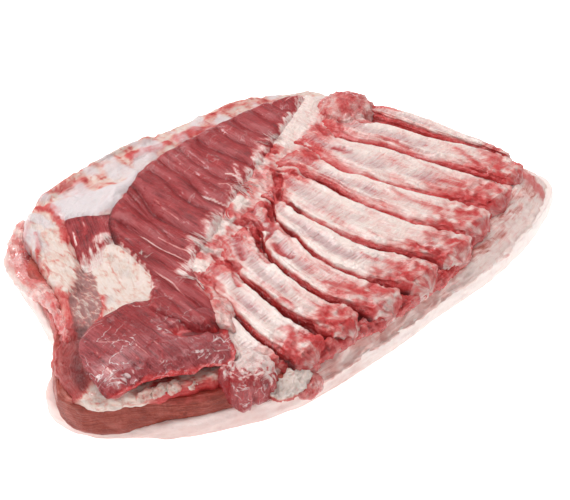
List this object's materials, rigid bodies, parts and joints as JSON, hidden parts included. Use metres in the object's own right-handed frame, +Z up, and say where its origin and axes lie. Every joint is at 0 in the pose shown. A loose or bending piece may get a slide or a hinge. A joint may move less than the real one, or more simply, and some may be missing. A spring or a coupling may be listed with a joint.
{
  "type": "pork belly slab",
  "caption": "Raw bone-in pork belly slab lying skin down: fat and lean layers, a ridged inner muscle and a row of ribs with their cut ends along one long edge.",
  "frame": {"origin": "under the middle of the slab, on the surface it lies on", "axes": "+X along the slab from its pointed flank corner to its shoulder end, +Y across it from the cut rib ends to the flank side, +Z up"},
  "size_m": [0.4114, 0.2735, 0.0542],
  "materials": {
    "back_fat": "soft white fat and skin",
    "lean": "moist raw lean meat",
    "soft_fat": "moist fat and membrane",
    "inner_muscle": "smooth moist muscle under its membrane",
    "gristle": "moist trimmed gristle and meat",
    "rib_meat": "moist membrane over bone and meat"
  },
  "bodies": {
    "root": {"skin_and_fat": "back_fat", "belly_lean": "lean", "inner_fat": "soft_fat", "ridged_muscle": "inner_muscle", "front_flap": "inner_muscle", "muscle_slip": "inner_muscle", "rib_roots": "gristle", "shoulder_lump": "lean", "rib_01": "rib_meat", "rib_02": "rib_meat", "rib_03": "rib_meat", "rib_04": "rib_meat", "rib_05": "rib_meat", "rib_06": "rib_meat", "rib_07": "rib_meat", "rib_08": "rib_meat", "rib_09": "rib_meat", "rib_10": "rib_meat", "front_lump": "lean", "corner_lump": "gristle"}
  },
  "joints": []
}
